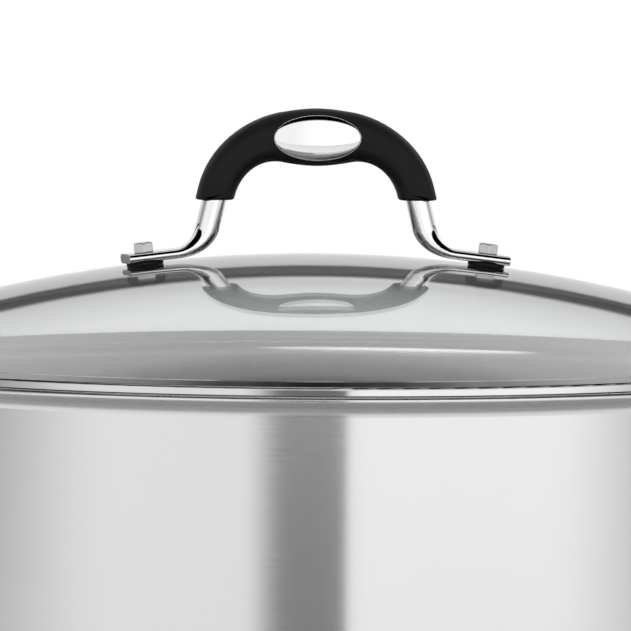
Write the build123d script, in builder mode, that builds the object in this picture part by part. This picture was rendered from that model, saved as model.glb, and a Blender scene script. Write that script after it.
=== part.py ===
from build123d import *
import os
from math import asin, atan2, cos, degrees, exp, radians, sin, sqrt, tan

# A stock pot with a domed glass lid, in millimetres.
#
# +Z is up and the pot stands on z = 0. The origin is the centre of the base. X runs through
# the two side handles and along the lid's handle, and the front is towards -Y.
#
# The pot is one pressed shell with a flared, curled rim and a capsule base. The lid is a
# spherical glass with a folded steel ring, which rests on the flare of the rim. All three
# handles are bent from one round bar, flattened at its feet, with a soft grip over the arch.

# ------------------------------------------------------------ driving dimensions
# Pot
pot_r = 180.0             # inside radius of the wall
pot_height = 300.0        # ground to the top of the rim's bead
wall_t = 0.8              # sheet of wall and floor
corner_r = 14.0           # inside corner between floor and wall

# Rim: the wall flares outward, runs on as a short cone and ends in a curled bead
flare_r = 5.0
flare_turn = 50.0         # degrees away from vertical
seat_run = 5.0            # length of the cone that carries the lid
bead_r = 1.2
bead_turn = 270.0

# Base: an aluminium disc under the floor, closed in by a steel skin
skin_t = 0.8
skin_bend_r = 2.0
core_t = 6.0
core_fit = 0.05           # around the disc
base_setback = 3.0        # skin inside the flat part of the floor

# Lid glass and its ring
dome_r = 500.0            # outer face of the glass
glass_t = 4.0
glass_edge_r = 0.4
ring_t = 0.5
ring_fit = 0.1            # between glass and ring
ring_lip = 5.0            # how far the ring reaches over the glass
rim_gap = 2.2             # ring to bead, at the top of the seat
seat_gap = 0.3            # ring to cone

# Bar of every handle
bend_steps = 6            # stations along the loft of a bend
bar_d = 8.5
bar_corner_r = 4.1        # nearly a circle
strap_w = 12.0            # flattened foot
strap_t = 3.4
strap_corner_r = 1.6
strap_edge = 0.4
arch_r = 25.0
bend_r = 13.0
leg_lean = 13.5           # degrees, legs spread towards their feet

# Grip of every handle: thickest in the middle
grip_steps = 14           # stations along the loft of a grip
grip_drop = 22.0          # top run of the bar to the ends of the grip
grip_end_t = 13.2
grip_end_depth = 13.5
grip_end_corner_r = 5.6
grip_mid_t = 20.2
grip_mid_depth = 15.0
grip_mid_corner_r = 6.6
grip_fit = 0.05           # around the bar
grip_edge = 0.8

# Oval plate let into a grip
inlay_length = 31.0
inlay_height = 16.2
inlay_fit = 0.1
inlay_seat = 5.1          # middle of the bar to the floor of the recess
inlay_proud = 0.15        # beyond the middle of the grip's face
inlay_crown_r = 17.0      # across the plate
inlay_bow_r = 150.0       # along the plate
inlay_edge = 0.3

# Lid handle
bolt_x = 60.0             # bolt's axis at the outer face of the glass
lid_rise = 45.3           # top run of the bar above the glass at the bolts
lid_corner_x = 30.5       # where the lines of leg and top run would meet
lid_swell = 18.0          # along the bar, over which the swelling dies away
strap_end = 8.2           # bolt to the far corner of the strap's end
strap_cut_angle = 13.5    # both ends are sheared this much off square, the same way

# Stack that clamps the lid handle to the glass
face_gap = 0.05           # between flat faces and the glass
glass_hole_r = 3.0
gasket_r = 6.5
gasket_t = 1.2
gasket_edge = 0.3
washer_r = 6.75
washer_h = 3.9
washer_bowl_r = 2.6
screw_r = 2.0
screw_fit = 0.2           # hole through strap, gasket and washer
screw_head_r = 3.5
screw_head_h = 2.0
screw_head_round = 0.8
screw_head_fit = 0.15
screw_head_sink = 1.4     # depth of the head's seat in the washer
screw_slot_w = 1.0
screw_slot_depth = 0.9
screw_tip_gap = 0.2       # below the end of the nut's bore
nut_width = 6.5           # across flats
nut_h = 3.5
nut_chamfer = 0.6         # how far the turned chamfer drops at the corners
nut_edge = 0.2            # start of the chamfer, inside the flats
nut_bore = 2.6
thread_fit = 0.05

# Side handles
handle_z = 236.0
side_rise = 48.0          # top run of the bar beyond the wall
side_corner_y = 44.0
side_swell = 22.0
side_foot = 33.0          # along the wall, from the end of the bend
strap_gap = 0.05          # between strap and wall

# Rivets of the side handles
rivets_per_foot = 2
rivet_first = 10.0        # from the end of the bend
rivet_pitch = 14.0
rivet_r = 2.5
rivet_fit = 0.05
rivet_head_r = 4.4
rivet_head_h = 1.7
rivet_head_round = 1.4
rivet_seat_gap = 0.02

sides = {"left": -1, "right": 1}

# ------------------------------------------------------------ derived rim
floor_z = skin_t + core_t
floor_top = floor_z + wall_t
pot_outer_r = pot_r + wall_t
flat_r = pot_r - corner_r
flare = radians(flare_turn)
flare_z = (
    pot_height - flare_r * sin(flare) - seat_run * cos(flare) - bead_r * (1 - sin(flare))
)
cone_start = Vector(pot_r + flare_r * (1 - cos(flare)), flare_z + flare_r * sin(flare))
cone_end_r = cone_start.X + seat_run * sin(flare)


def cone_height(radius):
    """Height of the rim's seat at a radius."""
    return cone_start.Y + (radius - cone_start.X) / tan(flare)


# ------------------------------------------------------------ derived lid
# The fold under the glass rests on the cone, so it sets the height of the whole lid.
dome_inner_r = dome_r - glass_t
ring_r = cone_end_r - rim_gap
glass_r = ring_r - ring_t - ring_fit
fold_r = glass_edge_r + ring_fit + ring_t
fold_centre_r = glass_r - glass_edge_r
fold_centre_z = cone_height(fold_centre_r) + (fold_r + seat_gap) / sin(flare)
dome_z = fold_centre_z - sqrt((dome_inner_r + glass_edge_r) ** 2 - fold_centre_r**2)
bolt_tilt = asin(bolt_x / dome_r)
bolt_z = dome_z + dome_r * cos(bolt_tilt)


def bolt_plane(side):
    """Plane on the glass at a bolt, square to the bolt; side is -1 or 1."""
    tilt = side * bolt_tilt
    return Plane(
        origin=(side * bolt_x, 0, bolt_z),
        x_dir=(cos(tilt), 0, -sin(tilt)),
        z_dir=(sin(tilt), 0, cos(tilt)),
    )


def sag(radius, face_r):
    """Drop of a face that curves with face_r over a disc of a given radius."""
    return face_r - sqrt(face_r**2 - radius**2)


# Heights along a bolt, above the glass
strap_bottom = face_gap + gasket_t
strap_top = strap_bottom + strap_t
washer_bottom = -(glass_t + sag(washer_r, dome_inner_r) + face_gap + washer_h)
head_seat = washer_bottom + screw_head_sink
screw_tip = strap_top + nut_bore - screw_tip_gap

# ------------------------------------------------------------ derived handles
# A handle is drawn in a plane with its length along X and the way out along Y. Its leg runs
# down from the corner where it would meet the top run, and the bend's centre stands bend_r
# off the leg and bend_r off the line of the foot.
leg_down = Vector(sin(radians(leg_lean)), -cos(radians(leg_lean)))
leg_normal = Vector(cos(radians(leg_lean)), sin(radians(leg_lean)))

lid_corner = Vector(lid_corner_x, bolt_z + lid_rise)
foot_normal = Vector(sin(bolt_tilt), cos(bolt_tilt))
foot_out = Vector(cos(bolt_tilt), -sin(bolt_tilt))
strap_centre = Vector(bolt_x, bolt_z) + foot_normal * (strap_bottom + strap_t / 2)
bend_start = lid_corner + leg_normal * bend_r
lid_leg = (bend_r - (bend_start - strap_centre).dot(foot_normal)) / leg_down.dot(foot_normal)
lid_foot = (strap_centre - bend_start - leg_down * lid_leg).dot(foot_out) + strap_end

handle_plane = Plane(origin=(0, 0, handle_z), x_dir=(0, 1, 0), z_dir=(0, 0, -1))
strap_r = pot_outer_r + strap_gap + strap_t / 2
side_corner = Vector(side_corner_y, pot_outer_r + side_rise)
bend_start = side_corner + leg_normal * bend_r
nearest = -bend_start.dot(leg_down)
side_leg = nearest - sqrt(
    nearest**2 - bend_start.dot(bend_start) + (strap_r + bend_r) ** 2
)
bend_centre = bend_start + leg_down * side_leg
side_foot_tilt = atan2(bend_centre.X, bend_centre.Y)

rivet_stack = wall_t + strap_gap + strap_t
rivet_inner_seat = -(rivet_seat_gap + sag(rivet_head_r, pot_r))
rivet_outer_seat = rivet_stack + rivet_seat_gap


def rivet_places(side):
    """Planes of one handle's rivets, on the inside of the wall and facing outward."""
    places = []
    for end in (-1, 1):
        for count in range(rivets_per_foot):
            along = rivet_first + count * rivet_pitch
            turn = end * (side_foot_tilt + along / strap_r)
            facing = Vector(side * cos(turn), sin(turn), 0)
            places.append(Plane(origin=facing * pot_r + (0, 0, handle_z), z_dir=facing))
    return places


def rivet_hole_places(side):
    """The same planes moved out to the face of the strap, to drill inward from."""
    return [place.offset(rivet_stack) for place in rivet_places(side)]


# ------------------------------------------------------------ shapes of a handle
def section(plane, depth, thickness, corner_round):
    """Rounded section of a bar or grip, with its depth along the plane's X."""
    with BuildSketch(plane) as profile:
        RectangleRounded(depth, thickness, corner_round)
    return profile.sketch


def arch_wire(plane, corner, leg):
    """Middle line of a bar from one bend over the arch to the other."""
    leg_end = corner + leg_down * leg
    with BuildLine(plane) as arch:
        FilletPolyline(
            (-leg_end.X, leg_end.Y),
            (-corner.X, corner.Y),
            (corner.X, corner.Y),
            (leg_end.X, leg_end.Y),
            radius=arch_r,
        )
    return arch.wire()


def round_section(plane, arch, fit=0.0):
    """Section of the round bar at the start of its arch, with a fit around it."""
    place = Plane(origin=arch @ 0, x_dir=plane.z_dir, z_dir=arch % 0)
    return section(place, bar_d + 2 * fit, bar_d + 2 * fit, bar_corner_r + fit)


def between(start, end, share):
    """Value between start and end, easing in and out."""
    return start + (end - start) * share**2 * (3 - 2 * share)


def make_bar(plane, corner, leg, foot_tilt, foot_length, wall_r=None):
    """Bent bar: a round arch, two bends that flatten it and two feet.

    The feet are straight, or follow a wall with their middle line at wall_r.
    """
    arch = arch_wire(plane, corner, leg)
    leg_end = corner + leg_down * leg
    with BuildLine(plane):
        bend = JernArc(
            (leg_end.X, leg_end.Y),
            (leg_down.X, leg_down.Y),
            bend_r,
            90 - leg_lean - degrees(foot_tilt),
        )
        if wall_r:
            foot = JernArc(bend @ 1, bend % 1, wall_r, -degrees(foot_length / wall_r))
        else:
            foot = Line(bend @ 1, bend @ 1 + (bend % 1) * foot_length)
    bend_sections = [
        section(
            Plane(origin=bend @ share, x_dir=plane.z_dir, z_dir=bend % share),
            between(bar_d, strap_w, share),
            between(bar_d, strap_t, share),
            between(bar_corner_r, strap_corner_r, share),
        )
        for share in [step / bend_steps for step in range(bend_steps + 1)]
    ]
    with BuildPart() as bar:
        loft(bend_sections)
        sweep(sections=bend_sections[-1], path=foot)
        mirror(about=Plane(origin=plane.origin, z_dir=plane.x_dir))
        sweep(sections=round_section(plane, arch), path=arch)
    return bar.part


def inlay_plane(plane, corner, face):
    """Floor of an inlay's recess; face is 1 on the plane's own side and -1 behind it."""
    return Plane(
        origin=plane.offset(face * inlay_seat).from_local_coords((0, corner.Y, 0)),
        x_dir=plane.x_dir * face,
        z_dir=plane.z_dir * face,
    )


def make_grip(plane, corner, leg, swell, faces):
    """Grip over the arch of a bar, with a recess for an inlay on each of its faces.

    Its ends are cut level, at one height below the top run.
    """
    arch = arch_wire(plane, corner, leg)
    lean = radians(leg_lean)
    grip_half = arch.length / 2 - leg + grip_drop / cos(lean) + grip_end_t * tan(lean)
    sections = []
    for step in range(grip_steps + 1):
        distance = grip_half * (2 * step / grip_steps - 1)
        along = arch.length / 2 + distance
        place = Plane(
            origin=arch.position_at(along, PositionMode.LENGTH),
            x_dir=plane.z_dir,
            z_dir=arch.tangent_at(along, PositionMode.LENGTH),
        )
        full = exp(-((distance / swell) ** 2))
        sections.append(
            section(
                place,
                grip_end_depth + (grip_mid_depth - grip_end_depth) * full,
                grip_end_t + (grip_mid_t - grip_end_t) * full,
                grip_end_corner_r + (grip_mid_corner_r - grip_end_corner_r) * full,
            )
        )
    with BuildPart() as grip:
        loft(sections)
        ends_at = plane.from_local_coords((0, corner.Y - grip_drop, 0))
        split(bisect_by=Plane(origin=ends_at, z_dir=plane.y_dir), keep=Keep.TOP)
        ends = grip.faces().sort_by(Axis(plane.origin, plane.y_dir))[:2]
        fillet(ends[0].edges() + ends[1].edges(), grip_edge)
        sweep(
            sections=round_section(plane, arch, grip_fit), path=arch, mode=Mode.SUBTRACT
        )
        for face in faces:
            with BuildSketch(inlay_plane(plane, corner, face)):
                Ellipse(inlay_length / 2 + inlay_fit, inlay_height / 2 + inlay_fit)
            extrude(amount=grip_mid_depth, mode=Mode.SUBTRACT)
    return grip.part


def make_inlay(place):
    """Oval plate, crowned across and slightly bowed along, with a flat back."""
    crown = grip_mid_depth / 2 + inlay_proud - inlay_seat
    end_view = Plane(origin=place.origin, x_dir=place.z_dir, z_dir=place.x_dir)
    with BuildPart() as inlay:
        with BuildSketch(place):
            Ellipse(inlay_length / 2, inlay_height / 2)
        extrude(amount=crown)
        with BuildSketch(end_view):
            with Locations((crown - inlay_crown_r, 0)):
                Circle(inlay_crown_r)
        bow_centre = end_view.from_local_coords((crown - inlay_bow_r, 0, 0))
        revolve(axis=Axis(bow_centre, end_view.y_dir), mode=Mode.INTERSECT)
        front = inlay.faces().sort_by(Axis(place.origin, place.z_dir))[-1]
        fillet(front.edges(), inlay_edge)
    return inlay.part


# ------------------------------------------------------------ pot
with BuildPart() as pot_shell:
    with BuildSketch(Plane.XZ):
        with BuildLine():
            curl_ends = []
            for depth in (0, wall_t):
                floor_line = Line((0, floor_top - depth), (flat_r, floor_top - depth))
                knee = JernArc(floor_line @ 1, floor_line % 1, corner_r + depth, 90)
                wall = Line(knee @ 1, (pot_r + depth, flare_z))
                throat = JernArc(wall @ 1, wall % 1, flare_r - depth, -flare_turn)
                seat = Line(throat @ 1, throat @ 1 + (throat % 1) * seat_run)
                curl = JernArc(seat @ 1, seat % 1, bead_r - depth, -bead_turn)
                curl_ends.append(curl @ 1)
            Line(*curl_ends)
            Line((0, floor_z), (0, floor_top))
        make_face()
    revolve(axis=Axis.Z)
    with Locations(*rivet_hole_places(-1), *rivet_hole_places(1)):
        Hole(rivet_r + rivet_fit, depth=2 * rivet_stack)

skin_r = flat_r - base_setback
with BuildPart() as base_core:
    with BuildSketch(Plane.XY.offset(skin_t)):
        Circle(skin_r - skin_t - core_fit)
    extrude(amount=core_t)
    fillet(base_core.edges().group_by(Axis.Z)[0], skin_bend_r - skin_t)

with BuildPart() as base_skin:
    with BuildSketch():
        Circle(skin_r)
    extrude(amount=skin_t + core_t)
    fillet(base_skin.edges().group_by(Axis.Z)[0], skin_bend_r)
    with BuildSketch(Plane.XY.offset(skin_t)):
        Circle(skin_r - skin_t)
    extrude(amount=core_t, mode=Mode.SUBTRACT)

# ------------------------------------------------------------ lid glass and ring
with BuildSketch(Plane.XZ) as glass_section:
    with Locations((0, dome_z)):
        Circle(dome_r)
        Circle(dome_inner_r, mode=Mode.SUBTRACT)
        Rectangle(glass_r, dome_r, align=Align.MIN, mode=Mode.INTERSECT)
    fillet(glass_section.vertices().group_by(Axis.X)[-1], glass_edge_r)

with BuildPart() as lid_glass:
    add(glass_section.sketch)
    revolve(axis=Axis.Z)
    with Locations(bolt_plane(-1), bolt_plane(1)):
        Hole(glass_hole_r)

with BuildPart() as lid_ring:
    with BuildSketch(Plane.XZ):
        offset(glass_section.sketch_local, amount=ring_fit + ring_t, mode=Mode.ADD)
        offset(glass_section.sketch_local, amount=ring_fit, mode=Mode.SUBTRACT)
        with Locations((ring_r - ring_lip, 0)):
            Rectangle(ring_lip, dome_z + dome_r, align=Align.MIN, mode=Mode.INTERSECT)
    revolve(axis=Axis.Z)

# ------------------------------------------------------------ lid handle
with BuildPart() as lid_handle_bar:
    add(make_bar(Plane.XZ, lid_corner, lid_leg, bolt_tilt, lid_foot))
    for side in sides.values():
        place = bolt_plane(side)
        cut = radians(strap_cut_angle)
        outward = place.x_dir * side * cos(cut) + place.y_dir * side * sin(cut)
        far_corner = place.from_local_coords((side * strap_end, -side * strap_w / 2, strap_top))
        split(bisect_by=Plane(origin=far_corner, z_dir=outward), keep=Keep.BOTTOM)
    ends = lid_handle_bar.faces().sort_by(Axis.X)
    fillet(ends[0].edges() + ends[-1].edges(), strap_edge)
    with Locations(bolt_plane(-1), bolt_plane(1)):
        Hole(screw_r + screw_fit)

with BuildPart() as lid_handle_grip:
    add(make_grip(Plane.XZ, lid_corner, lid_leg, lid_swell, (1, -1)))

with BuildPart() as lid_handle_inlay_front:
    add(make_inlay(inlay_plane(Plane.XZ, lid_corner, 1)))

with BuildPart() as lid_handle_inlay_back:
    add(make_inlay(inlay_plane(Plane.XZ, lid_corner, -1)))


# ------------------------------------------------------------ clamping stack of the lid
def make_gasket(place):
    """Soft disc between the glass and a strap."""
    with BuildPart() as gasket:
        with BuildSketch(place.offset(face_gap)):
            Circle(gasket_r)
        extrude(amount=gasket_t)
        fillet(gasket.edges().filter_by(GeomType.CIRCLE), gasket_edge)
        with Locations(place):
            Hole(screw_r + screw_fit)
    return gasket


def make_washer(place):
    """Soft bowl under the glass, with a seat for the screw's head in its flat bottom."""
    with BuildPart() as washer:
        with BuildSketch(place.offset(washer_bottom)):
            Circle(washer_r)
        extrude(amount=washer_h)
        fillet(washer.edges().sort_by(Axis(place.origin, place.z_dir))[0], washer_bowl_r)
        with BuildSketch(place.offset(washer_bottom)):
            Circle(screw_head_r + screw_head_fit)
        extrude(amount=screw_head_sink, mode=Mode.SUBTRACT)
        with Locations(place):
            Hole(screw_r + screw_fit)
    return washer


def make_screw(place):
    """Slotted pan-head screw, put in from below."""
    with BuildPart() as screw:
        with BuildSketch(place.offset(head_seat)):
            Circle(screw_head_r)
        extrude(amount=-screw_head_h)
        fillet(screw.edges().sort_by(Axis(place.origin, place.z_dir))[0], screw_head_round)
        with BuildSketch(place.offset(head_seat - screw_head_h)):
            Rectangle(2 * screw_head_r, screw_slot_w)
        extrude(amount=screw_slot_depth, mode=Mode.SUBTRACT)
        with BuildSketch(place.offset(head_seat)):
            Circle(screw_r)
        extrude(amount=screw_tip - head_seat)
    return screw


def make_nut(place):
    """Closed hexagon nut with a corner to the front and a turned chamfer on its top."""
    corner = nut_width / sqrt(3)
    nut_top = strap_top + nut_h
    with BuildPart() as nut:
        with BuildSketch(place.offset(strap_top)):
            RegularPolygon(nut_width / 2, 6, major_radius=False, rotation=30)
        extrude(amount=nut_h)
        with BuildSketch(Plane(origin=place.origin, x_dir=place.x_dir, z_dir=-place.y_dir)):
            Polygon(
                (0, strap_top),
                (corner, strap_top),
                (corner, nut_top - nut_chamfer),
                (nut_width / 2 - nut_edge, nut_top),
                (0, nut_top),
                align=None,
            )
        revolve(axis=Axis(place.origin, place.z_dir), mode=Mode.INTERSECT)
        with BuildSketch(place.offset(strap_top)):
            Circle(screw_r + thread_fit)
        extrude(amount=nut_bore, mode=Mode.SUBTRACT)
    return nut


# ------------------------------------------------------------ side handles
with BuildPart() as right_handle_bar:
    add(make_bar(handle_plane, side_corner, side_leg, side_foot_tilt, side_foot, strap_r))
    with Locations(*rivet_hole_places(1)):
        Hole(rivet_r + rivet_fit, depth=2 * rivet_stack)

with BuildPart() as right_handle_grip:
    add(make_grip(handle_plane, side_corner, side_leg, side_swell, (-1,)))

with BuildPart() as right_handle_inlay:
    add(make_inlay(inlay_plane(handle_plane, side_corner, -1)))

with BuildPart() as rivet:
    with BuildSketch(Plane.XY.offset(rivet_inner_seat)):
        Circle(rivet_r)
    extrude(amount=rivet_outer_seat - rivet_inner_seat)
    for head_z, head_h in ((rivet_outer_seat, rivet_head_h), (rivet_inner_seat, -rivet_head_h)):
        with BuildSketch(Plane.XY.offset(head_z)):
            Circle(rivet_head_r)
        extrude(amount=head_h)
    rims = rivet.edges().group_by(Axis.Z)
    fillet(rims[0] + rims[-1], rivet_head_round)

with BuildPart() as right_handle_rivets:
    with Locations(*rivet_places(1)):
        add(rivet.part)


def mirrored(piece):
    """The left handle's copy of a piece of the right one."""
    with BuildPart() as copy:
        mirror(piece.part, about=Plane.YZ)
    return copy


# ------------------------------------------------------------ labels and files
pieces = {
    "pot_shell": pot_shell,
    "base_core": base_core,
    "base_skin": base_skin,
    "right_handle_bar": right_handle_bar,
    "right_handle_grip": right_handle_grip,
    "right_handle_inlay": right_handle_inlay,
    "right_handle_rivets": right_handle_rivets,
    "left_handle_bar": mirrored(right_handle_bar),
    "left_handle_grip": mirrored(right_handle_grip),
    "left_handle_inlay": mirrored(right_handle_inlay),
    "left_handle_rivets": mirrored(right_handle_rivets),
    "lid_glass": lid_glass,
    "lid_ring": lid_ring,
    "lid_handle_bar": lid_handle_bar,
    "lid_handle_grip": lid_handle_grip,
    "lid_handle_inlay_front": lid_handle_inlay_front,
    "lid_handle_inlay_back": lid_handle_inlay_back,
}
for name, side in sides.items():
    pieces[f"lid_gasket_{name}"] = make_gasket(bolt_plane(side))
    pieces[f"lid_washer_{name}"] = make_washer(bolt_plane(side))
    pieces[f"lid_screw_{name}"] = make_screw(bolt_plane(side))
    pieces[f"lid_nut_{name}"] = make_nut(bolt_plane(side))

os.makedirs("parts", exist_ok=True)
for name, piece in pieces.items():
    piece.part.label = name
    export_step(piece.part, f"parts/{name}.step")
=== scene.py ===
# %% [markdown]
# # A stock pot with a domed glass lid
#
# The lesson dresses a finished CAD model for the camera. The pot is one pressed steel shell with
# a curled rim, the lid is a sheet of toughened glass in a folded steel ring, and every handle is
# a bent steel bar with a soft black grip and an oval plate let into it.
#
# The CAD gives exact metal parts, so they stay as they are and only get materials. The grips and
# their plates are modelled again here, because a hand-shaped, rounded form is quicker to reach
# with Blender's edit mode than with CAD sections.
#
# The first cell loads the CAD model. Everything is in metres, +Z is up and the front is -Y.

# %% Load the CAD model
import math

import bpy
from mathutils import Matrix, Vector


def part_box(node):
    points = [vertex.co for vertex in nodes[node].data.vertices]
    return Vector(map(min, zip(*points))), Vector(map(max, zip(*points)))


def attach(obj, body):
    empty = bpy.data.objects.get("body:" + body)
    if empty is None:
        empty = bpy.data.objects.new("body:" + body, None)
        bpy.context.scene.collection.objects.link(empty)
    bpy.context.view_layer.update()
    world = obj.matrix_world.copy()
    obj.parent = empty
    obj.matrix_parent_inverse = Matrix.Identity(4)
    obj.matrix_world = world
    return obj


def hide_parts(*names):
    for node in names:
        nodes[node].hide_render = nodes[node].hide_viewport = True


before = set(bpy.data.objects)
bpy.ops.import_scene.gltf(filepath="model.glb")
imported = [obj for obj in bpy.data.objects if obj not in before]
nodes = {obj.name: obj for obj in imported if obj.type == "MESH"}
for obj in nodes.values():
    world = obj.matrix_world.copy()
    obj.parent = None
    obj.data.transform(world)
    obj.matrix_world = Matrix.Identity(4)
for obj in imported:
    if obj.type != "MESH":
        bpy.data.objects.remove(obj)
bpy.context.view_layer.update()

# %% [markdown]
# ## The camera
#
# A pot is shown from a few steps back through a long lens, which keeps the rim's curve
# gentle. A short lens close by would open the rim into a wide oval. The camera stands a little
# left of the middle, looks slightly down and to the right, and is rolled by less than a degree.
# A camera looks along its own -Z, so its turn is built from three plain rotations: about Z for
# the heading, about X for the tilt, and about its own axis for the roll.

# %% Camera
SENSOR_WIDTH, LENS = 36.0, 733.06
CAMERA_PLACE = Vector((-0.2949, -4.5, 0.5983))
HEADING, DOWN, ROLL = -3.7503, -3.5825, 0.42

camera_data = bpy.data.cameras.new("camera")
camera_data.sensor_width = SENSOR_WIDTH
camera_data.lens = LENS
camera_data.clip_start = 0.01
camera = bpy.data.objects.new("camera", camera_data)
bpy.context.scene.collection.objects.link(camera)

heading = Matrix.Rotation(math.radians(HEADING), 4, "Z")
tilt = Matrix.Rotation(math.radians(90 + DOWN), 4, "X")
roll = Matrix.Rotation(math.radians(ROLL), 4, "Z")
camera.matrix_world = Matrix.Translation(CAMERA_PLACE) @ heading @ tilt @ roll
bpy.context.scene.camera = camera
print("lens:", round(camera_data.lens, 1), "mm, camera at", [round(c, 3) for c in CAMERA_PLACE])

# %% [markdown]
# ## Helpers for node trees
#
# A material is a small graph. The helpers below add a node with its values set, and write sums
# in one line, so that each material cell shows only what is special about it.

# %% Node helpers
def add_node(tree, kind, inputs=None, **settings):
    """Adds a node, sets its properties, and sets or links its inputs by name or number."""
    node = tree.nodes.new(kind)
    for name, value in settings.items():
        setattr(node, name, value)
    for name, value in (inputs or {}).items():
        socket = node.inputs[name]
        if isinstance(value, bpy.types.NodeSocket):
            tree.links.new(value, socket)
        else:
            socket.default_value = value
    return node


def math_node(tree, operation, *values):
    """One step of arithmetic; values are numbers or sockets."""
    node = add_node(tree, "ShaderNodeMath", dict(enumerate(values)), operation=operation)
    return node.outputs[0]


def remap(tree, value, low, high, to_low, to_high, smooth=True):
    """Moves a value from one range to another, easing at both ends if smooth."""
    node = add_node(
        tree, "ShaderNodeMapRange",
        {"Value": value, "From Min": low, "From Max": high, "To Min": to_low, "To Max": to_high},
        interpolation_type="SMOOTHSTEP" if smooth else "LINEAR",
    )
    return node.outputs["Result"]


def blend_colours(tree, factor, first, second):
    """Colour that goes from first to second."""
    node = add_node(tree, "ShaderNodeMix", data_type="RGBA")
    sockets = {"Factor": factor, "A": first, "B": second}
    for socket in node.inputs:
        if socket.enabled and socket.name in sockets:
            value = sockets[socket.name]
            if isinstance(value, bpy.types.NodeSocket):
                tree.links.new(value, socket)
            else:
                socket.default_value = value
    return next(s for s in node.outputs if s.enabled)


def both(tree, first, second):
    """Mask that is 1 where both masks are 1."""
    return math_node(tree, "MULTIPLY", first, second)


def grey(value):
    """An even grey as a colour."""
    return (value, value, value, 1)


def new_group(name, inputs, outputs):
    """Starts a shader node group; inputs and outputs map names to socket kinds or numbers."""
    group = bpy.data.node_groups.new(name, "ShaderNodeTree")
    for title, value in inputs.items():
        kind = value if isinstance(value, str) else "NodeSocketFloat"
        socket = group.interface.new_socket(name=title, in_out="INPUT", socket_type=kind)
        if kind == "NodeSocketFloat":
            socket.default_value = value
    for title in outputs:
        group.interface.new_socket(name=title, in_out="OUTPUT", socket_type="NodeSocketFloat")
    return group, group.nodes.new("NodeGroupInput").outputs, group.nodes.new("NodeGroupOutput").inputs


# %% [markdown]
# ## The studio
#
# Polished steel shows nothing but its surroundings, so the studio is drawn in the world shader.
# The camera sees plain white. Matt surfaces get an even, plain light. Mirrors and satin metal
# see white walls, the right one a little brighter, with darker gaps between them: one on each
# side and the ceiling over the front. Behind the pot two dark bands and a dim upper wall give
# the glass something to reflect. Without the gaps, steel looks like white plaster. Looking
# through the lid, the wall behind is dim from the horizon up and the floor below it is bright,
# which draws the dark band along the top of the dome.
#
# Each gap is four angles in degrees: where it starts, where it is full, where it stops being
# full and where it ends. Azimuth 0 is the front, and a number beside each gap says how much of
# the light it takes away. The right wall begins at an azimuth in front, and behind the pot at a
# share of the X axis, so that it has no seam where the azimuth jumps from 180 to -180.

# %% World
world = bpy.data.worlds.new("studio")
bpy.context.scene.world = world
world.use_nodes = True
sky = world.node_tree
sky.nodes.clear()

LEFT_WALL, RIGHT_WALL = 1.06, 1.3
RIGHT_FROM, RIGHT_BEHIND_FROM = (-6.0, 8.0), (-0.7, 0.5)
THROUGH_GLASS, HORIZON, WALL_TOP = 0.2, (0.0, 1.2), (18.0, 30.0)
FRONT_ENDS = (80.0, 110.0)
SIDE_GAP, SIDE_GAP_AT = 0.62, (48.0, 88.0, 94.0, 125.0)
CEILING, CEILING_AT = 1.0, (22.0, 27.0, 90.0, 95.0)
BACK_FOOT, BACK_FOOT_AT = 0.3, (-60.0, -30.0, 10.5, 12.5)
LOW_BAND, LOW_BAND_AT = 0.97, (10.5, 12.5, 16.5, 18.5)
BACK_WALL, BACK_WALL_AT = 0.35, (38.0, 43.0, 80.0, 89.0)
HIGH_BAND, HIGH_BAND_AT, HIGH_BAND_FROM = 0.95, (43.0, 46.0, 58.0, 70.0), (45.0, 70.0)

direction = add_node(sky, "ShaderNodeTexCoord").outputs["Generated"]
axes = add_node(sky, "ShaderNodeSeparateXYZ", {0: direction}).outputs
azimuth = math_node(sky, "DEGREES", math_node(
    sky, "ARCTAN2", axes["X"], math_node(sky, "MULTIPLY", axes["Y"], -1.0)))
elevation = math_node(sky, "DEGREES", math_node(sky, "ARCSINE", axes["Z"]))
side_azimuth = math_node(sky, "ABSOLUTE", azimuth)


def gap(value, start, full_from, full_to, end):
    """1 between full_from and full_to, fading to 0 at start and end."""
    rise = remap(sky, value, start, full_from, 0.0, 1.0)
    fall = remap(sky, value, full_to, end, 1.0, 0.0)
    return math_node(sky, "MULTIPLY", rise, fall)


def darken(light, mask, depth):
    """Takes depth of the light away where the mask is 1."""
    kept = math_node(sky, "SUBTRACT", 1.0, math_node(sky, "MULTIPLY", mask, depth))
    return math_node(sky, "MULTIPLY", light, kept)


in_front = remap(sky, side_azimuth, *FRONT_ENDS, 1.0, 0.0)
behind = math_node(sky, "SUBTRACT", 1.0, in_front)
right_in_front = both(sky, in_front, remap(sky, azimuth, *RIGHT_FROM, 0.0, 1.0))
right_behind = both(sky, behind, remap(sky, axes["X"], *RIGHT_BEHIND_FROM, 0.0, 1.0))
right = math_node(sky, "ADD", right_in_front, right_behind)
light = remap(sky, right, 0.0, 1.0, LEFT_WALL, RIGHT_WALL, smooth=False)
light = darken(light, gap(side_azimuth, *SIDE_GAP_AT), SIDE_GAP)
light = darken(light, both(sky, in_front, gap(elevation, *CEILING_AT)), CEILING)
light = darken(light, both(sky, behind, gap(elevation, *BACK_FOOT_AT)), BACK_FOOT)
light = darken(light, both(sky, behind, gap(elevation, *LOW_BAND_AT)), LOW_BAND)
light = darken(light, both(sky, behind, gap(elevation, *BACK_WALL_AT)), BACK_WALL)
around = remap(sky, side_azimuth, *HIGH_BAND_FROM, 0.0, 1.0)
light = darken(light, both(sky, around, gap(elevation, *HIGH_BAND_AT)), HIGH_BAND)

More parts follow.
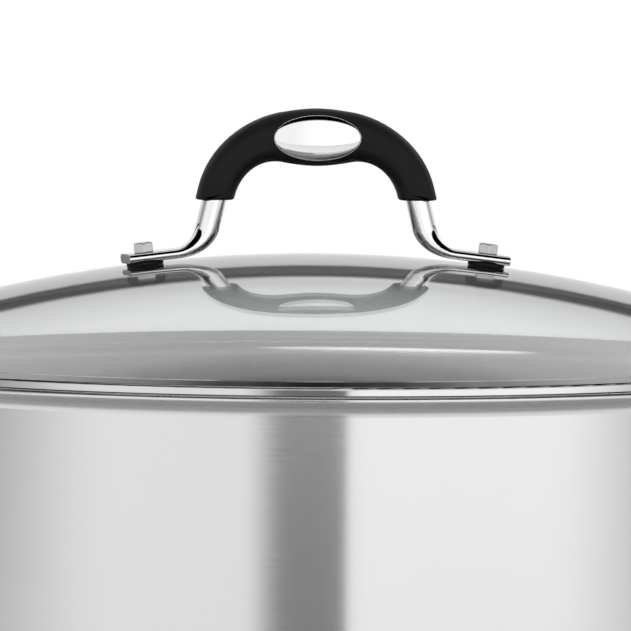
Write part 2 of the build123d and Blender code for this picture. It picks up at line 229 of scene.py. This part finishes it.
PLAIN_LEVEL = 0.85
rays = add_node(sky, "ShaderNodeLightPath").outputs
low = remap(sky, elevation, *WALL_TOP, 1.0, 0.0)
wall = remap(sky, elevation, *HORIZON, 1.0, THROUGH_GLASS)
horizon = add_node(sky, "ShaderNodeMix", {"Factor": low, "A": light, "B": wall})
glossy = add_node(sky, "ShaderNodeMix", {"Factor": rays["Is Glossy Ray"], "A": PLAIN_LEVEL, "B": light})
behind_glass = add_node(sky, "ShaderNodeMix", {
    "Factor": rays["Is Transmission Ray"], "A": glossy.outputs[0], "B": horizon.outputs[0]})
strength = add_node(sky, "ShaderNodeMix", {
    "Factor": rays["Is Camera Ray"], "A": behind_glass.outputs[0], "B": 1.0})
background = add_node(sky, "ShaderNodeBackground", {"Color": (1, 1, 1, 1), "Strength": strength.outputs[0]})
add_node(sky, "ShaderNodeOutputWorld", {"Surface": background.outputs[0]})
print("world nodes:", len(sky.nodes))

# %% [markdown]
# ## Floor and lamp
#
# The pot stands on a plain pale floor. One large soft lamp overhead gives the matt parts a
# direction of light and the floor a soft shadow.

# %% Floor and lamp
FLOOR_RADIUS = 2.0
LAMP_SIZE, LAMP_ENERGY, LAMP_PLACE = 1.6, 14.0, (-0.5, -0.7, 1.9)
LAMP_TARGET = Vector((0, 0, 0.2))
bpy.ops.object.select_all(action="DESELECT")
bpy.ops.mesh.primitive_circle_add(vertices=96, radius=FLOOR_RADIUS, fill_type="NGON")
floor = bpy.context.active_object
floor.name = "floor"

lamp_data = bpy.data.lights.new("softbox", "AREA")
lamp_data.shape = "DISK"
lamp_data.size = LAMP_SIZE
lamp_data.energy = LAMP_ENERGY
lamp = bpy.data.objects.new("softbox", lamp_data)
lamp.location = LAMP_PLACE
lamp.rotation_euler = (LAMP_TARGET - lamp.location).to_track_quat("-Z", "Y").to_euler()
lamp.visible_glossy = False
bpy.context.scene.collection.objects.link(lamp)
print("floor radius:", FLOOR_RADIUS, "lamp:", LAMP_ENERGY, "W")

# %% [markdown]
# ## A dark flag in front
#
# The satin wall of a pot needs one dark, upright stripe, or its roundness is lost. A studio
# hangs a black flag between the two front softboxes. This one is a plane that only reflections
# see. It is crisp on one side and fades out on the other. Light Path's ray length limits it to
# what stands close to it, so the polished plate on the lid handle, further back, still mirrors
# the white walls.

# %% Flag
FLAG_FROM, FLAG_FULL, FLAG_TO = -0.195, -0.1, 0.0257
FLAG_GREY = 0.22
FLAG_REACH = 0.56
FLAG_Y = -0.63
FLAG_TOP = 0.335
bpy.ops.object.select_all(action="DESELECT")
bpy.ops.mesh.primitive_plane_add(
    size=1, location=((FLAG_FROM + FLAG_TO) / 2, FLAG_Y, FLAG_TOP / 2), rotation=(math.radians(90), 0, 0))
flag = bpy.context.active_object
flag.name = "flag"
flag.scale = (FLAG_TO - FLAG_FROM, FLAG_TOP, 1)
bpy.ops.object.transform_apply(location=True, rotation=True, scale=True)
for hidden_from in ("camera", "diffuse", "transmission", "shadow", "volume_scatter"):
    setattr(flag, "visible_" + hidden_from, False)

flag_paint = bpy.data.materials.new("flag")
flag_paint.use_nodes = True
tree = flag_paint.node_tree
tree.nodes.clear()
across = add_node(tree, "ShaderNodeSeparateXYZ", {0: add_node(tree, "ShaderNodeTexCoord").outputs["Object"]})
cover = remap(tree, across.outputs["X"], FLAG_FROM, FLAG_FULL, 0.0, 1.0)
ray_length = add_node(tree, "ShaderNodeLightPath").outputs["Ray Length"]
cover = both(tree, cover, math_node(tree, "LESS_THAN", ray_length, FLAG_REACH))
clear = add_node(tree, "ShaderNodeBsdfTransparent")
dark = add_node(tree, "ShaderNodeEmission", {"Color": grey(FLAG_GREY)})
veil = add_node(tree, "ShaderNodeMixShader", {0: cover, 1: clear.outputs[0], 2: dark.outputs[0]})
add_node(tree, "ShaderNodeOutputMaterial", {"Surface": veil.outputs[0]})
flag.data.materials.append(flag_paint)
print("flag:", round(FLAG_TO - FLAG_FROM, 3), "x", FLAG_TOP, "m")

# %% [markdown]
# ## Shared surface effects
#
# Two effects appear on several materials, so each is a node group with named inputs. *Brushing*
# draws the fine rings that a polishing belt leaves round the pot: noise that is stretched along
# the ring and squeezed across it. *Handling* is soft, cloudy smudging that changes the gloss a
# little from place to place, and very fine scratches.

# %% Brushing and handling groups
def make_brushing():
    group, given, result = new_group(
        "Brushing", {"Vector": "NodeSocketVector", "Along": 160.0, "Across": 5200.0}, ["Streaks", "Drift"])
    place = add_node(group, "ShaderNodeSeparateXYZ", {0: given["Vector"]}).outputs
    radius = math_node(group, "SQRT", math_node(
        group, "ADD", math_node(group, "POWER", place["X"], 2.0), math_node(group, "POWER", place["Y"], 2.0)))
    across = math_node(group, "MULTIPLY", math_node(group, "ADD", place["Z"], radius), given["Across"])
    stretched = add_node(group, "ShaderNodeCombineXYZ", {
        "X": math_node(group, "MULTIPLY", place["X"], given["Along"]),
        "Y": math_node(group, "MULTIPLY", place["Y"], given["Along"]),
        "Z": across,
    })
    streaks = add_node(group, "ShaderNodeTexNoise", {
        "Vector": stretched.outputs[0], "Scale": 1.0, "Detail": 3.0})
    drift = add_node(group, "ShaderNodeTexNoise", {"Vector": given["Vector"], "Scale": 9.0, "Detail": 2.0})
    group.links.new(streaks.outputs[0], result["Streaks"])
    group.links.new(drift.outputs[0], result["Drift"])
    return group


def make_handling():
    group, given, result = new_group(
        "Handling", {"Vector": "NodeSocketVector", "Smudge Scale": 40.0, "Scratch Scale": 900.0},
        ["Smudges", "Scratches"])
    smudges = add_node(group, "ShaderNodeTexNoise", {
        "Vector": given["Vector"], "Scale": given["Smudge Scale"], "Detail": 3.0, "Distortion": 0.6})
    scratches = add_node(group, "ShaderNodeTexNoise", {
        "Vector": given["Vector"], "Scale": given["Scratch Scale"], "Detail": 2.0})
    group.links.new(smudges.outputs[0], result["Smudges"])
    group.links.new(scratches.outputs[0], result["Scratches"])
    return group


brushing = make_brushing()
handling = make_handling()
print("groups:", [(group.name, len(group.nodes)) for group in (brushing, handling)])


def use_group(tree, group, **values):
    """Places a group in a material, fed with the piece's own coordinates."""
    node = add_node(tree, "ShaderNodeGroup", node_tree=group)
    place = add_node(tree, "ShaderNodeTexCoord").outputs["Object"]
    tree.links.new(place, node.inputs["Vector"])
    for name, value in values.items():
        node.inputs[name.replace("_", " ")].default_value = value
    return node.outputs


def new_material(name, **values):
    """A material with one Principled shader, its constant sockets set by name."""
    material = bpy.data.materials.new(name)
    material.use_nodes = True
    tree = material.node_tree
    tree.nodes.clear()
    shader = add_node(tree, "ShaderNodeBsdfPrincipled", {n.replace("_", " "): v for n, v in values.items()})
    add_node(tree, "ShaderNodeOutputMaterial", {"Surface": shader.outputs[0]})
    print("material:", name, values)
    return material, tree, shader.inputs


def paint(tree, shader, mask, first, second):
    """Base colour that wanders between two colours."""
    tree.links.new(blend_colours(tree, mask, first, second), shader["Base Color"])


def roughen(tree, shader, mask, mask_range, roughness):
    """Roughness that follows a mask from one value to the other."""
    tree.links.new(remap(tree, mask, *mask_range, *roughness), shader["Roughness"])


def bump(tree, shader, height, strength, distance):
    """Lets a height pattern tilt the surface."""
    node = add_node(tree, "ShaderNodeBump", {"Height": height, "Strength": strength, "Distance": distance})
    tree.links.new(node.outputs[0], shader["Normal"])


# %% [markdown]
# ## Satin steel
#
# The shell is belt-finished, so its highlights smear up and down while they stay crisp sideways.
# That is anisotropy: the shader is told which way the brushing runs by a radial tangent. Plain
# roughness would blur the bright and dark stripes of the wall just as much sideways.

# %% Satin steel
satin, tree, shader = new_material(
    "satin_steel", Metallic=1.0, Anisotropic=0.95, Anisotropic_Rotation=0.25)
marks = use_group(tree, brushing)
paint(tree, shader, marks["Streaks"], (0.70, 0.70, 0.695, 1), (0.80, 0.80, 0.795, 1))
roughen(tree, shader, marks["Streaks"], (0.3, 0.7), (0.19, 0.23))
bump(tree, shader, marks["Streaks"], 0.006, 0.0001)
tangent = add_node(tree, "ShaderNodeTangent", direction_type="RADIAL", axis="Z")
tree.links.new(tangent.outputs[0], shader["Tangent"])

# %% [markdown]
# ## Polished steel
#
# The bars are polished, but both ends of the lid handle's strap are left as the shears cut them,
# grey and rough. A mask finds those end faces: they lie far out along X and face along X. The
# plates share the polish.

# %% Polished steel
SHEARED_FROM, SHEARED_TO = 0.0645, 0.075
polished, tree, shader = new_material("polished_steel", Metallic=1.0)
marks = use_group(tree, handling)
surface = add_node(tree, "ShaderNodeNewGeometry").outputs
facing = add_node(tree, "ShaderNodeSeparateXYZ", {0: surface["True Normal"]}).outputs["X"]
place_x = add_node(tree, "ShaderNodeSeparateXYZ", {0: surface["Position"]}).outputs["X"]
out_along = math_node(tree, "ABSOLUTE", place_x)
far_out = both(tree, math_node(tree, "GREATER_THAN", out_along, SHEARED_FROM),
               math_node(tree, "LESS_THAN", out_along, SHEARED_TO))
sheared = both(tree, far_out, remap(tree, math_node(tree, "ABSOLUTE", facing), 0.88, 0.94, 0.0, 1.0))
shine = blend_colours(tree, marks["Smudges"], grey(0.80), (0.86, 0.86, 0.855, 1))
paint(tree, shader, sheared, shine, grey(0.24))
gloss = remap(tree, marks["Smudges"], 0.35, 0.7, 0.02, 0.05)
tree.links.new(math_node(tree, "ADD", gloss, math_node(tree, "MULTIPLY", sheared, 0.4)), shader["Roughness"])
bump(tree, shader, marks["Scratches"], 0.02, 0.0001)

# %% [markdown]
# ## Ring and fasteners
#
# The lid ring is rolled from thin polished strip. Its folds are rounder than the mesh shows, so
# the Bevel node rounds the normals over them, which widens the dark line that a fold draws. The
# lip that is folded over the glass is the same steel on the real ring, and looks dark only
# because of what it mirrors. Here it would mirror the bright wall behind the pot, so its colour
# is painted darker, a painted reflection chosen for the picture that also darkens it in other
# views. A mask of the distance from the axis finds the lip. The nuts and rivets are plainer
# steel, tumbled until every edge is a little soft, and look greyer.

# %% Ring and fastener steel
FOLD_R = 0.0009
TUMBLED_R = 0.0005
LIP_FADE, LIP_EDGE = 0.0012, 0.0004
ring_steel, tree, shader = new_material("ring_steel", Metallic=1.0)
marks = use_group(tree, handling)
ring_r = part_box("lid_ring")[1][0]
spot = add_node(tree, "ShaderNodeTexCoord").outputs["Object"]
flat = add_node(tree, "ShaderNodeVectorMath", {0: spot, 1: (1.0, 1.0, 0.0)}, operation="MULTIPLY")
from_axis = add_node(tree, "ShaderNodeVectorMath", {0: flat.outputs[0]}, operation="LENGTH").outputs["Value"]
on_lip = remap(tree, from_axis, ring_r - LIP_FADE, ring_r - LIP_EDGE, 1.0, 0.0)
skirt = blend_colours(tree, marks["Smudges"], grey(0.62), (0.70, 0.70, 0.695, 1))
paint(tree, shader, on_lip, skirt, grey(0.20))
roughen(tree, shader, marks["Smudges"], (0.35, 0.7), (0.06, 0.12))
fold = add_node(tree, "ShaderNodeBevel", {"Radius": FOLD_R}, samples=6)
tree.links.new(fold.outputs[0], shader["Normal"])
print("ring radius:", round(ring_r, 4))

tumbled, tree, shader = new_material("tumbled_steel", Metallic=1.0)
marks = use_group(tree, handling, Smudge_Scale=220.0, Scratch_Scale=3000.0)
paint(tree, shader, marks["Smudges"], grey(0.46), (0.58, 0.58, 0.575, 1))
roughen(tree, shader, marks["Smudges"], (0.3, 0.7), (0.05, 0.12))
tumbled_edge = add_node(tree, "ShaderNodeBevel", {"Radius": TUMBLED_R}, samples=6)
tree.links.new(tumbled_edge.outputs[0], shader["Normal"])

# %% [markdown]
# ## Soft black
#
# The sleeves of the handles are a rubber-like plastic: nearly black, matt, with a faint sheen
# where light grazes it. Specular is turned down, because soft rubber scatters most of what a
# hard plastic would mirror, and fine scratches break up the sheen. Pure black would lose the
# round shape, so the colour stays a little above it and wanders with the smudges.

# %% Soft black
soft_black, tree, shader = new_material("soft_black", Specular_IOR_Level=0.2)
marks = use_group(tree, handling, Smudge_Scale=60.0, Scratch_Scale=2500.0)
paint(tree, shader, marks["Smudges"], (0.0050, 0.0055, 0.0062, 1), (0.0085, 0.0090, 0.0100, 1))
roughen(tree, shader, marks["Smudges"], (0.3, 0.7), (0.46, 0.58))
bump(tree, shader, marks["Scratches"], 0.12, 0.0002)

# %% [markdown]
# ## Seal rubber
#
# The gaskets and washers that keep steel off the glass are moulded silicone. They are dull,
# so roughness is high and specular low; a shiny value would draw bright rings on them.

# %% Seal rubber
seal, tree, shader = new_material("seal_black", Specular_IOR_Level=0.1)
marks = use_group(tree, handling, Smudge_Scale=200.0, Scratch_Scale=4000.0)
paint(tree, shader, marks["Smudges"], (0.010, 0.011, 0.013, 1), (0.015, 0.016, 0.019, 1))
roughen(tree, shader, marks["Smudges"], (0.3, 0.7), (0.6, 0.75))
bump(tree, shader, marks["Scratches"], 0.1, 0.0001)

# %% [markdown]
# ## Lid glass
#
# Toughened glass is clear with a weak green-grey cast that shows most where the ray runs a long
# way inside it. It is one shader with full transmission, and its colour and roughness only
# change a little with the smudges. The thickness is real in the mesh, so refraction does the rest.

# %% Lid glass
glass, tree, shader = new_material("lid_glass", Transmission_Weight=1.0, IOR=1.5)
marks = use_group(tree, handling, Smudge_Scale=14.0, Scratch_Scale=300.0)
paint(tree, shader, marks["Smudges"], (0.862, 0.89, 0.876, 1), (0.888, 0.91, 0.898, 1))
roughen(tree, shader, marks["Smudges"], (0.5, 0.8), (0.0, 0.02))

# %% [markdown]
# ## Raw aluminium
#
# The heat-spreading disc under the pot is pressed aluminium, duller and softer than the steel
# around it. The same brushing pattern with wider streaks stands for the marks of rolling.

# %% Raw aluminium
aluminium, tree, shader = new_material("raw_aluminium", Metallic=1.0)
marks = use_group(tree, brushing, Along=60.0, Across=900.0)
paint(tree, shader, marks["Streaks"], (0.62, 0.63, 0.64, 1), (0.74, 0.75, 0.76, 1))
roughen(tree, shader, marks["Streaks"], (0.3, 0.7), (0.35, 0.5))

# %% [markdown]
# ## Floor material
#
# The floor is plain and pale. Close to the pot a painted shadow darkens the table in mirrors only.
# It stands for the shade the pot casts round its foot: without it, the flare under the rim, which
# looks straight down, would be as bright as the wall above.

# %% Floor material
DARKER_WITHIN, PLAIN_FROM = 0.45, 0.65
plaster, tree, shader = new_material("pale_floor", Roughness=0.8, Specular_IOR_Level=0.2)
marks = use_group(tree, handling, Smudge_Scale=3.0, Scratch_Scale=60.0)
plain = blend_colours(tree, marks["Smudges"], grey(0.86), grey(0.90))
spot = add_node(tree, "ShaderNodeTexCoord").outputs["Object"]
distance = add_node(tree, "ShaderNodeVectorMath", {0: spot}, operation="LENGTH").outputs["Value"]
painted_pot_shadow = remap(tree, distance, DARKER_WITHIN, PLAIN_FROM, 1.0, 0.0)
in_mirror = add_node(tree, "ShaderNodeLightPath").outputs["Is Glossy Ray"]
# Painted shadow: near the pot the floor's colour is darker for reflected rays only.
paint(tree, shader, both(tree, painted_pot_shadow, in_mirror), plain, grey(0.36))
floor.data.materials.append(plaster)

# %% [markdown]
# ## The soft grips
#
# A grip is a sleeve of soft rubber moulded over the arch of the bar. It is thickest in the
# middle, slims towards its ends, and both ends are cut level. It could be a curve with a bevel
# object, but a curve keeps one section all the way. Here a rounded rectangle is drawn once, then
# extruded along the straight run, spun round the corner and extruded down the leg, and each new
# ring is resized before the next one, so the thickness can change freely. Half a grip is
# enough: a mirror makes the other half.

# %% Grip measures
ARCH_R = 0.025
LEG_LEAN = math.radians(13.5)
CORNER_TURN = math.radians(90) - LEG_LEAN
GRIP_DROP = 0.022
MIDDLE_T, MIDDLE_DEPTH, MIDDLE_CORNER = 0.0202, 0.0150, 0.0066
END_T, END_DEPTH, END_ROUND = 0.0132, 0.0135, 0.0008
STRAIGHT_STEPS, CORNER_STEPS, LEG_STEPS = 6, 16, 2
print("grip corner:", round(math.degrees(CORNER_TURN), 1), "degrees, middle", MIDDLE_T, "ends", END_T)


def deselect_all():
    """Leaves nothing selected, so that the next operator acts on its own piece only."""
    if bpy.context.mode != "OBJECT":
        bpy.ops.object.mode_set(mode="OBJECT")
    bpy.ops.object.select_all(action="DESELECT")


def resize_ring(distance, swell, centre, last):
    """Resizes the selected ring from the last thickness and depth to those at this distance."""
    full = math.exp(-((distance / swell) ** 2))
    now = (END_T + (MIDDLE_T - END_T) * full, END_DEPTH + (MIDDLE_DEPTH - END_DEPTH) * full)
    in_plane, deep = now[0] / last[0], now[1] / last[1]
    bpy.ops.transform.resize(value=(in_plane, deep, in_plane), center_override=centre)
    return now


def extrude_to(step):
    """Extrudes the selected ring by a step."""
    bpy.ops.mesh.extrude_region_move(TRANSFORM_OT_translate={"value": step})


# %% [markdown]
# The section starts as a plane turned to face along the bar, with its four corners beveled. The
# spin operator counts its angle the other way round from a rotation, hence the minus sign.

# %% Model one grip
def model_grip(name, straight, swell):
    """Grip with the middle of its top run at the origin, along X, and its ends towards -Z."""
    deselect_all()
    bpy.ops.mesh.primitive_plane_add(size=1, rotation=(0, math.radians(90), 0))
    grip = bpy.context.active_object
    grip.name = name
    grip.scale = (MIDDLE_T, MIDDLE_DEPTH, 1)
    bpy.ops.object.transform_apply(location=True, rotation=True, scale=True)
    bpy.ops.object.mode_set(mode="EDIT")
    bpy.ops.mesh.select_all(action="SELECT")
    bpy.ops.mesh.bevel(offset=MIDDLE_CORNER, segments=10, affect="VERTICES")
    size = (MIDDLE_T, MIDDLE_DEPTH)
    for step in range(1, STRAIGHT_STEPS + 1):
        x = straight * step / STRAIGHT_STEPS
        extrude_to((straight / STRAIGHT_STEPS, 0, 0))
        size = resize_ring(x, swell, (x, 0, 0), size)
    turn = CORNER_TURN / CORNER_STEPS
    for step in range(1, CORNER_STEPS + 1):
        bpy.ops.mesh.spin(steps=1, angle=-turn, center=(straight, 0, -ARCH_R), axis=(0, 1, 0))
        centre = (straight + ARCH_R * math.sin(turn * step), 0, ARCH_R * (math.cos(turn * step) - 1))
        size = resize_ring(straight + ARCH_R * turn * step, swell, centre, size)
    down = Vector((math.sin(LEG_LEAN), 0, -math.cos(LEG_LEAN)))
    leg = (GRIP_DROP + centre[2] + END_T * math.tan(LEG_LEAN)) / math.cos(LEG_LEAN)
    for step in range(LEG_STEPS):
        extrude_to(down * leg / LEG_STEPS)
    bpy.ops.mesh.select_all(action="SELECT")
    bpy.ops.mesh.bisect(plane_co=(0, 0, -GRIP_DROP), plane_no=(0, 0, 1), use_fill=True, clear_inner=True)
    bpy.ops.mesh.bevel(offset=END_ROUND, segments=4, affect="EDGES")
    bpy.ops.mesh.select_mode(type="FACE")
    bpy.ops.mesh.select_all(action="DESELECT")
    bpy.ops.object.mode_set(mode="OBJECT")
    return grip


def finish_grip(grip):
    """Opens the middle, mirrors the half, closes the seam and smooths the faces."""
    for face in grip.data.polygons:
        face.select = all(abs(grip.data.vertices[i].co.x) < 1e-6 for i in face.vertices)
    bpy.ops.object.mode_set(mode="EDIT")
    bpy.ops.mesh.delete(type="FACE")
    bpy.ops.object.mode_set(mode="OBJECT")
    mirror = grip.modifiers.new("mirror", "MIRROR")
    mirror.merge_threshold = 1e-5
    bpy.ops.object.modifier_apply(modifier=mirror.name)
    bpy.ops.object.mode_set(mode="EDIT")
    bpy.ops.mesh.select_all(action="SELECT")
    bpy.ops.mesh.remove_doubles(threshold=1e-6)
    bpy.ops.mesh.normals_make_consistent(inside=False)
    bpy.ops.object.mode_set(mode="OBJECT")


# %% [markdown]
# ## The oval plates
#
# Each plate is pressed from polished steel into a shallow pillow: seen from any side it swells
# evenly towards its middle, which is why its mirror image of the room is a clean oval between
# two dark crescents. Half an ellipsoid is exactly that form. A sphere is turned so that its
# poles face out, which keeps its rings round the plate, then it is cut in half, resized, and
# its rim is given a small rolled edge and a skirt that goes down into the recess. A scaled
# cylinder with a bevel would be quicker, but its flat top would mirror one even tone.

# %% Model one plate
PLATE_HALF_LENGTH, PLATE_HALF_HEIGHT = 0.0155, 0.0081
PLATE_SEAT, PLATE_BULGE, PLATE_SKIRT = 0.0051, 0.0016, 0.00095
PLATE_EDGE = 0.0006


def model_plate(name):
    """Plate that faces -Y, with the middle of the bar at the origin."""
    deselect_all()
    bpy.ops.mesh.primitive_uv_sphere_add(
        segments=96, ring_count=48, radius=1, rotation=(math.radians(90), 0, 0))
    plate = bpy.context.active_object
    plate.name = name
    bpy.ops.object.transform_apply(location=True, rotation=True, scale=True)
    bpy.ops.object.mode_set(mode="EDIT")
    bpy.ops.mesh.select_all(action="SELECT")
    bpy.ops.mesh.bisect(plane_co=(0, 0, 0), plane_no=(0, 1, 0), clear_outer=True)
    bpy.ops.mesh.select_all(action="SELECT")
    bpy.ops.transform.resize(
        value=(PLATE_HALF_LENGTH, PLATE_BULGE, PLATE_HALF_HEIGHT), center_override=(0, 0, 0))
    bpy.ops.transform.translate(value=(0, -PLATE_SEAT - PLATE_SKIRT, 0))
    bpy.ops.mesh.select_all(action="DESELECT")
    bpy.ops.mesh.select_mode(type="EDGE")
    bpy.ops.mesh.select_non_manifold()
    extrude_to((0, PLATE_SKIRT, 0))
    bpy.ops.mesh.edge_face_add()
    bpy.ops.mesh.select_all(action="DESELECT")
    bpy.ops.object.mode_set(mode="OBJECT")
    rim_at = -PLATE_SEAT - PLATE_SKIRT
    for edge in plate.data.edges:
        edge.select = all(abs(plate.data.vertices[i].co.y - rim_at) < 1e-7 for i in edge.vertices)
    bpy.ops.object.mode_set(mode="EDIT")
    bpy.ops.mesh.bevel(offset=PLATE_EDGE, segments=3, affect="EDGES")
    bpy.ops.mesh.select_all(action="SELECT")
    bpy.ops.mesh.normals_make_consistent(inside=False)
    bpy.ops.object.mode_set(mode="OBJECT")
    return plate


# %% [markdown]
# ## The recess
#
# The plate sits in an oval recess of the grip, a hair wider than the plate. A boolean with an
# oval cylinder cuts it: the wall of the recess stays upright all the way round, which an inset
# and extrude on a curved sleeve would not give.

# %% Cut the recess
PLATE_FIT = 0.0001


def cut_recess(grip, side):
    """Cuts the recess in the face on the given side, -1 for -Y and 1 for +Y."""
    deselect_all()
    bpy.ops.mesh.primitive_cylinder_add(
        vertices=128, radius=1, depth=PLATE_SEAT, rotation=(math.radians(90), 0, 0),
        location=(0, side * PLATE_SEAT * 1.5, 0))
    cutter = bpy.context.active_object
    cutter.scale = (PLATE_HALF_LENGTH + PLATE_FIT, PLATE_HALF_HEIGHT + PLATE_FIT, 1)
    bpy.ops.object.transform_apply(location=True, rotation=True, scale=True)
    recess = grip.modifiers.new("recess", "BOOLEAN")
    recess.operation = "DIFFERENCE"
    recess.solver = "EXACT"
    recess.object = cutter
    deselect_all()
    grip.select_set(True)
    bpy.context.view_layer.objects.active = grip
    bpy.ops.object.modifier_apply(modifier=recess.name)
    bpy.data.objects.remove(cutter, do_unlink=True)


# %% [markdown]
# ## Grips and plates in their places
#
# The CAD boxes say where the bars run. A grip's origin is the middle of its bar's top run, so
# the lid grip moves straight up. The two side grips lie flat: their feet point back at the wall.
# Half a run is measured to the sharp corner that run and leg would make, and the round corner
# takes its share of it.

# %% Place the pieces
BAR_R = 0.00425
SMOOTH_UP_TO = math.radians(35)
CORNER_TAKES = ARCH_R * math.tan(CORNER_TURN / 2)
LID_HALF_RUN, SIDE_HALF_RUN = 0.0305, 0.044
LID_STRAIGHT, LID_SWELL = LID_HALF_RUN - CORNER_TAKES, 0.018
SIDE_STRAIGHT, SIDE_SWELL = SIDE_HALF_RUN - CORNER_TAKES, 0.022


def place(piece, where, material, body, slot, node):
    """Moves a piece to its place, applies the move, gives it its material and body, and hides the CAD part.
    """
    deselect_all()
    piece.select_set(True)
    bpy.context.view_layer.objects.active = piece
    piece.matrix_world = where
    bpy.ops.object.transform_apply(location=True, rotation=True, scale=True)
    bpy.ops.object.shade_smooth_by_angle(angle=SMOOTH_UP_TO)
    piece.data.materials.clear()
    piece.data.materials.append(material)
    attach(piece, body)
    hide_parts(node)
    print(piece.name, "faces:", len(piece.data.polygons))


lid_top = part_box("lid_handle_bar")[1][2] - BAR_R
lid_place = Matrix.Translation((0, 0, lid_top))
lid_grip = model_grip("lid_grip", LID_STRAIGHT, LID_SWELL)
finish_grip(lid_grip)
cut_recess(lid_grip, -1)
cut_recess(lid_grip, 1)
place(lid_grip, lid_place, soft_black, "lid", "black_grip", "lid_handle_grip")
front_plate = model_plate("lid_plate_front")
place(front_plate, lid_place, polished, "lid", "inlay_steel", "lid_handle_inlay_front")
back_plate = model_plate("lid_plate_back")
half_turn = Matrix.Rotation(math.radians(180), 4, "Z")
place(back_plate, lid_place @ half_turn, polished, "lid", "inlay_steel", "lid_handle_inlay_back")

for side, sign in (("right", 1), ("left", -1)):
    low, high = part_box(side + "_handle_bar")
    reach = (high[0] if sign > 0 else low[0]) - sign * BAR_R
    level = (low[2] + high[2]) / 2
    out, along, up = Vector((sign, 0, 0)), Vector((0, -sign, 0)), Vector((0, 0, 1))
    where = Matrix.Translation((reach, 0, level)) @ Matrix((
        (along.x, -up.x, out.x, 0), (along.y, -up.y, out.y, 0), (along.z, -up.z, out.z, 0), (0, 0, 0, 1)))
    side_grip = model_grip(side + "_grip", SIDE_STRAIGHT, SIDE_SWELL)
    finish_grip(side_grip)
    cut_recess(side_grip, -1)
    place(side_grip, where, soft_black, "pot", "black_grip", side + "_handle_grip")
    plate = model_plate(side + "_plate")
    place(plate, where, polished, "pot", "inlay_steel", side + "_handle_inlay")

# %% [markdown]
# ## Materials onto the CAD nodes
#
# A node's name says what it is, so one small table of name parts does the job. What the table
# leaves out, the bars and the plates, is polished.

# %% Assign materials
finishes = {
    "pot_shell": satin, "base_skin": satin, "base_core": aluminium, "lid_glass": glass,
    "lid_gasket": seal, "lid_washer": seal, "grip": soft_black, "lid_ring": ring_steel,
    "lid_nut": tumbled, "lid_screw": tumbled, "rivets": tumbled,
}
for name, node in nodes.items():
    chosen = next((m for part, m in finishes.items() if part in name), polished)
    node.data.materials.clear()
    node.data.materials.append(chosen)
    print(name, "->", chosen.name)

# %% [markdown]
# ## Finish
#
# The scene is shown through the Standard view transform, which leaves the colours as they are.

# %% Finish
bpy.context.scene.view_settings.view_transform = "Standard"
